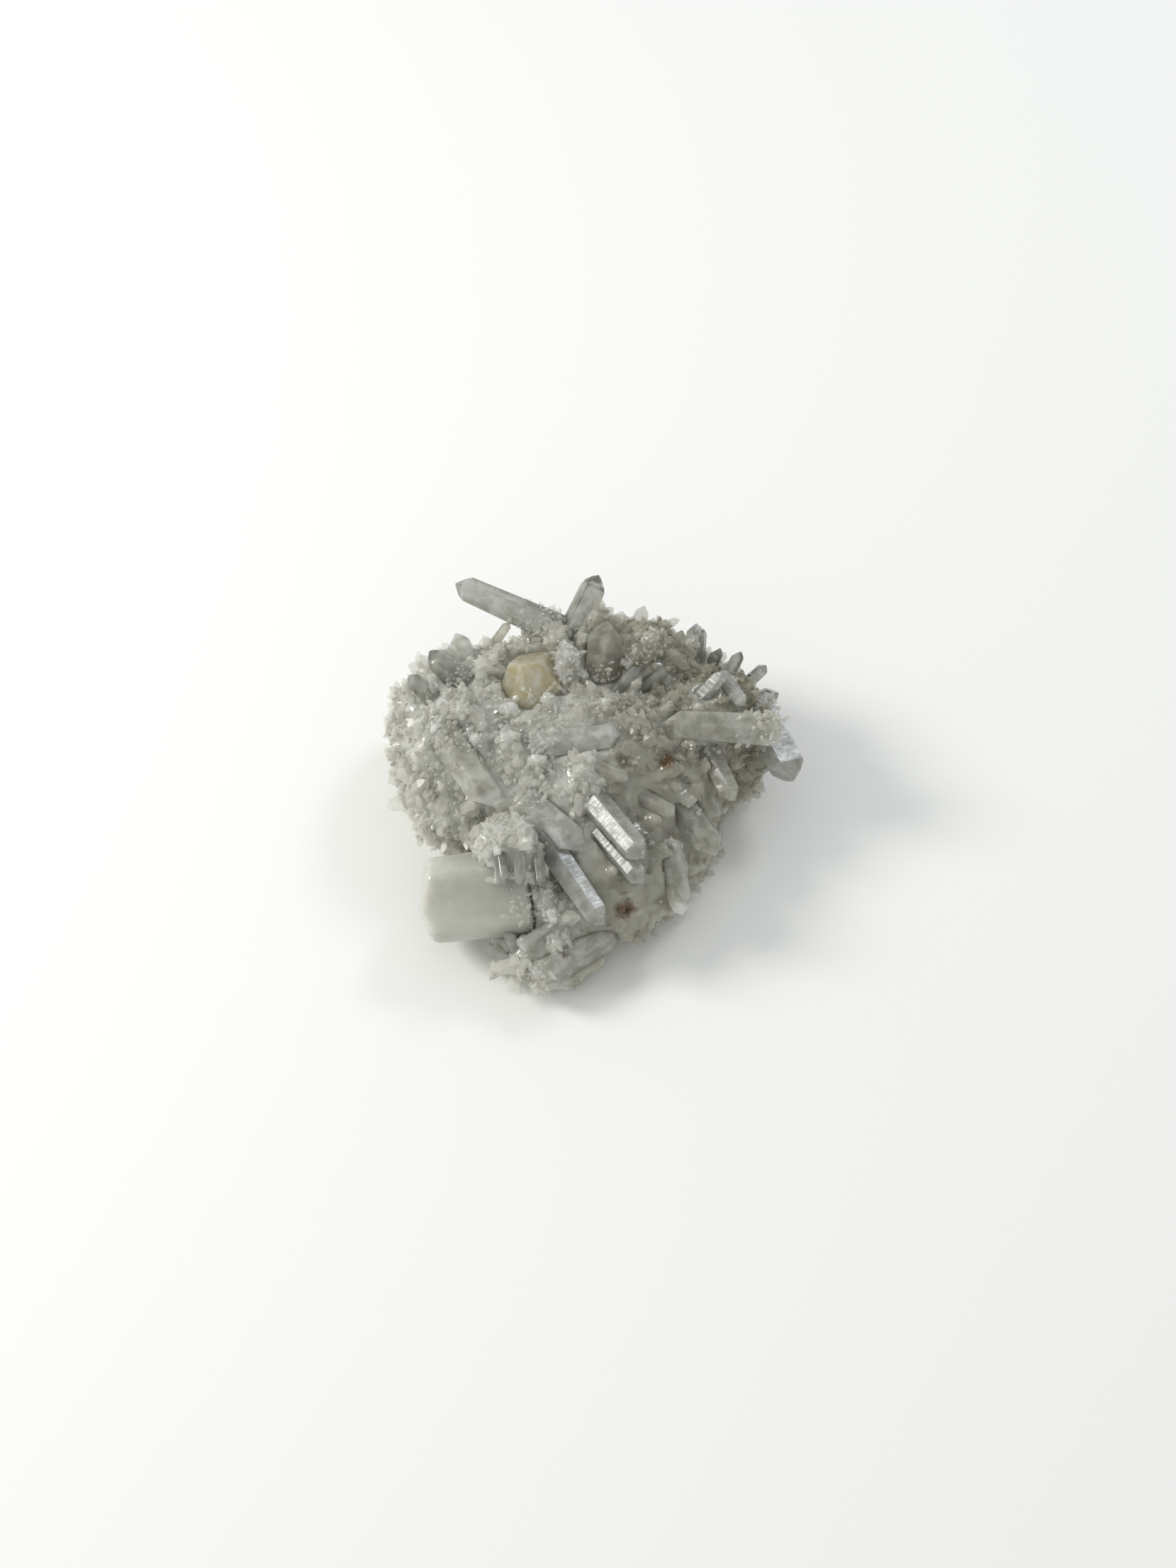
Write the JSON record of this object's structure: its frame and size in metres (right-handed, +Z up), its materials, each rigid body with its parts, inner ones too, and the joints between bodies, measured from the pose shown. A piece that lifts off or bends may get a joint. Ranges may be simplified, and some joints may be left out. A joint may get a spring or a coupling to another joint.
{
  "type": "quartz crystal cluster",
  "caption": "Free-standing mineral specimen: glassy and milky quartz points of many sizes growing at all angles from a druse-crusted milky matrix with a flat base.",
  "frame": {"origin": "middle of the cluster's footprint, on the flat broken face that it stands on", "axes": "+Z up, +Y towards the back rim where the longest leaning point stands, +X towards the side with the long twin"},
  "size_m": [0.0948, 0.092, 0.0399],
  "materials": {
    "matrix_quartz": "sugary translucent druse of milky quartz",
    "milky_quartz": "smooth translucent milky quartz",
    "clear_quartz": "glassy natural crystal faces",
    "smoky_quartz": "glassy natural crystal faces, faintly smoky",
    "stained_quartz": "smooth milky quartz with a pale iron-yellow stain"
  },
  "bodies": {
    "root": {"matrix": "matrix_quartz", "milky_block": "milky_quartz", "right_long": "clear_quartz", "right_twin": "clear_quartz", "bright_twin_upper": "clear_quartz", "bright_twin_lower": "clear_quartz", "lower_long": "clear_quartz", "left_milky_long": "milky_quartz", "centre_fat": "milky_quartz", "centre_milky": "milky_quartz", "amber_block": "stained_quartz", "back_left_long": "clear_quartz", "back_right_point": "clear_quartz", "crusted_spire": "milky_quartz", "ridge_smoky_block": "smoky_quartz", "ridge_slanted": "smoky_quartz", "ridge_clear_point": "clear_quartz", "ridge_small_point": "clear_quartz", "shoulder_lath_upper": "clear_quartz", "shoulder_lath_lower": "clear_quartz", "crest_tip_a": "clear_quartz", "crest_tip_b": "clear_quartz", "crest_tip_c": "clear_quartz", "crest_tip_d": "clear_quartz", "left_stub_upper": "clear_quartz", "left_stub_lower": "clear_quartz", "left_crest_block": "smoky_quartz", "left_crest_spike": "smoky_quartz", "toe_long": "milky_quartz", "toe_dark_tip": "clear_quartz", "toe_up_point": "clear_quartz", "toe_slim_point": "clear_quartz", "hanging_left": "clear_quartz", "hanging_middle": "clear_quartz", "hanging_right": "clear_quartz", "front_right_stalk": "milky_quartz", "right_shadow_block": "smoky_quartz", "right_shadow_point": "clear_quartz", "ridge_lath_right": "clear_quartz", "ridge_lath_left": "clear_quartz", "mid_flat_point": "clear_quartz", "right_low_point": "clear_quartz", "back_wall_long": "clear_quartz", "back_wall_stub": "milky_quartz", "back_wall_low": "clear_quartz", "back_left_wall": "milky_quartz", "back_right_wall": "smoky_quartz", "left_wall_point": "clear_quartz", "back_centre_tip": "clear_quartz"}
  },
  "joints": []
}
